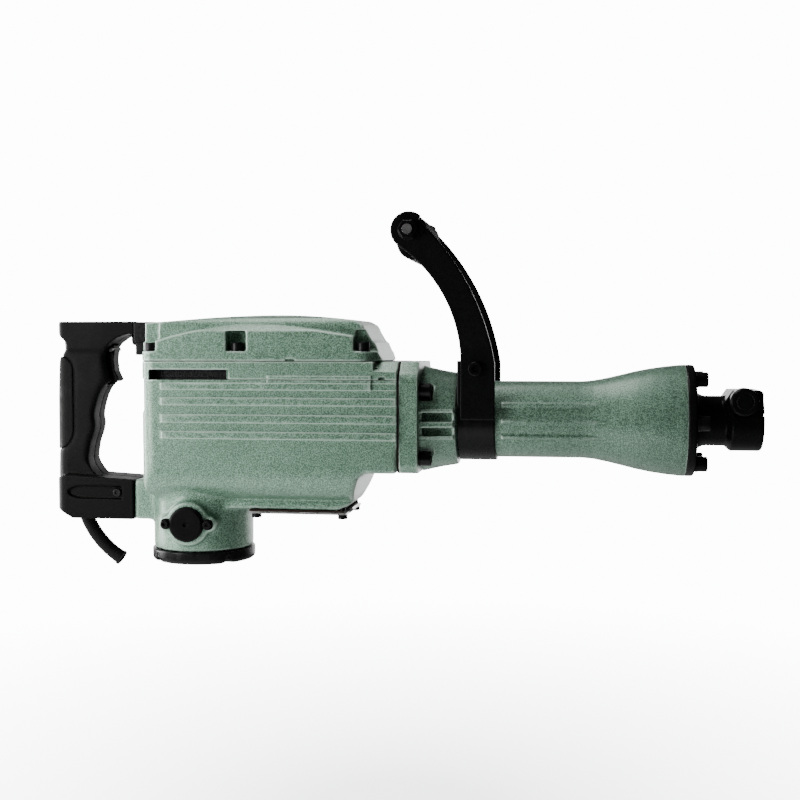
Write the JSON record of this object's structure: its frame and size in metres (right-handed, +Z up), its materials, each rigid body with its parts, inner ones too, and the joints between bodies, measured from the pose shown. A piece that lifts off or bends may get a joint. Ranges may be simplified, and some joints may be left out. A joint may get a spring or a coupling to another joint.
{
  "type": "demolition hammer",
  "caption": "Electric demolition hammer with an upright motor housing, rear D-handle, clamped swivelling side handle, ribbed cylinder and hexagon tool socket.",
  "frame": {"origin": "centre of the hexagon tool socket's mouth, on the hammer axis", "axes": "+X along the hammer axis and out of the tool socket, +Z up, away from the motor; -Y is the side shown"},
  "size_m": [0.7345, 0.1528, 0.3686],
  "materials": {
    "hammer_green": "hammertone enamel, low gloss, fine pebbled texture",
    "black_cast": "gloss black enamel on cast steel",
    "black_screw": "black oxide",
    "black_nylon": "satin moulded nylon",
    "black_rubber": "matt rubber",
    "foam": "open foam",
    "bright_steel": "ground steel",
    "gear_steel": "machined steel, oiled",
    "electrical_steel": "stacked laminations",
    "copper": "enamelled copper",
    "brass": "drawn brass",
    "carbon": "pressed carbon",
    "fan_plastic": "moulded nylon",
    "aluminium": "machined casting"
  },
  "bodies": {
    "root": {"lower_housing": "hammer_green", "upper_housing": "hammer_green", "top_cover": "hammer_green", "top_cover_bolts": "black_screw", "cylinder_case": "hammer_green", "gaskets": "black_rubber", "air_filters": "foam", "case_bolts": "black_screw", "front_cover": "black_cast", "front_cover_bolts": "black_screw", "front_washers": "black_screw", "buffer_ring": "black_rubber", "cylinder_liner": "bright_steel", "hammer_holder": "bright_steel", "motor_bottom_cover": "black_cast", "bottom_cover_screws": "black_screw", "belly_plate": "bright_steel", "belly_bolts": "black_screw", "brush_caps": "black_nylon", "brush_cap_screws": "black_screw", "brush_holders": "brass", "carbon_brushes": "carbon", "brush_springs": "gear_steel", "stator_core": "electrical_steel", "stator_windings": "copper", "motor_bearings": "gear_steel", "gear_plate": "aluminium", "gear_bearings": "gear_steel", "handle_shell_left": "black_nylon", "handle_shell_right": "black_nylon", "grip_pad": "black_rubber", "handle_screws": "black_screw", "handle_mount_block": "black_cast", "switch_body": "black_nylon", "cord_guard": "black_rubber"},
    "rotor": {"armature_shaft": "gear_steel", "armature_core": "electrical_steel", "armature_windings": "copper", "commutator": "copper", "cooling_fan": "fan_plastic"},
    "idler": {"idler_gear": "gear_steel", "idler_shaft": "gear_steel"},
    "crank": {"crank_gear": "gear_steel", "crankshaft": "gear_steel"},
    "piston": {"piston": "bright_steel", "piston_ring": "black_rubber", "wrist_pin": "bright_steel"},
    "con_rod": {"con_rod": "gear_steel", "crank_pin": "gear_steel"},
    "striker": {"striker": "bright_steel", "striker_ring": "black_rubber"},
    "impact_bolt": {"impact_bolt": "bright_steel"},
    "retainer": {"retainer_pin": "black_cast"},
    "trigger": {"trigger": "black_nylon"},
    "side_handle": {"side_handle_band": "black_cast", "side_handle_arms": "black_cast", "side_handle_clamp_bolt": "black_screw", "side_grip": "black_rubber", "side_grip_stud": "bright_steel", "side_grip_nuts": "black_screw"}
  },
  "joints": [
    {"name": "rotor_spin", "type": "hinge", "parent": "root", "child": "rotor", "pos_m": [-0.5753, 0, 0], "axis": [0, 0, 1], "continuous": true},
    {"name": "idler_spin", "type": "hinge", "parent": "root", "child": "idler", "pos_m": [-0.5303, 0, 0], "axis": [0, 0, 1], "continuous": true},
    {"name": "crank_spin", "type": "hinge", "parent": "root", "child": "crank", "pos_m": [-0.46955, 0, 0], "axis": [0, 0, 1], "continuous": true},
    {"name": "piston_slide", "type": "slide", "parent": "root", "child": "piston", "axis": [1, 0, 0], "range_m": [-0.034, 0]},
    {"name": "con_rod_swing", "type": "hinge", "parent": "piston", "child": "con_rod", "pos_m": [-0.35755, 0, 0], "axis": [0, 0, 1], "range_deg": [-10.5, 10.5]},
    {"name": "striker_slide", "type": "slide", "parent": "root", "child": "striker", "axis": [1, 0, 0], "range_m": [-0.035, 0.012]},
    {"name": "impact_bolt_slide", "type": "slide", "parent": "root", "child": "impact_bolt", "axis": [1, 0, 0], "range_m": [-0.005, 0.005]},
    {"name": "retainer_turn", "type": "hinge", "parent": "root", "child": "retainer", "pos_m": [-0.021, 0, 0.0205], "axis": [0, 1, 0], "range_deg": [0, 180]},
    {"name": "trigger_pull", "type": "hinge", "parent": "root", "child": "trigger", "pos_m": [-0.674, 0, 0.071], "axis": [0, 1, 0], "range_deg": [0, 8], "stiffness_Nm_per_rad": 0.6, "springref_deg": -5.73},
    {"name": "side_handle_turn", "type": "hinge", "parent": "root", "child": "side_handle", "pos_m": [-0.281, 0, 0], "axis": [1, 0, 0], "continuous": true}
  ],
  "couplings": [
    {"joint": "idler_spin", "follows": "rotor_spin", "ratio": -0.25},
    {"joint": "crank_spin", "follows": "rotor_spin", "ratio": 0.0875}
  ]
}
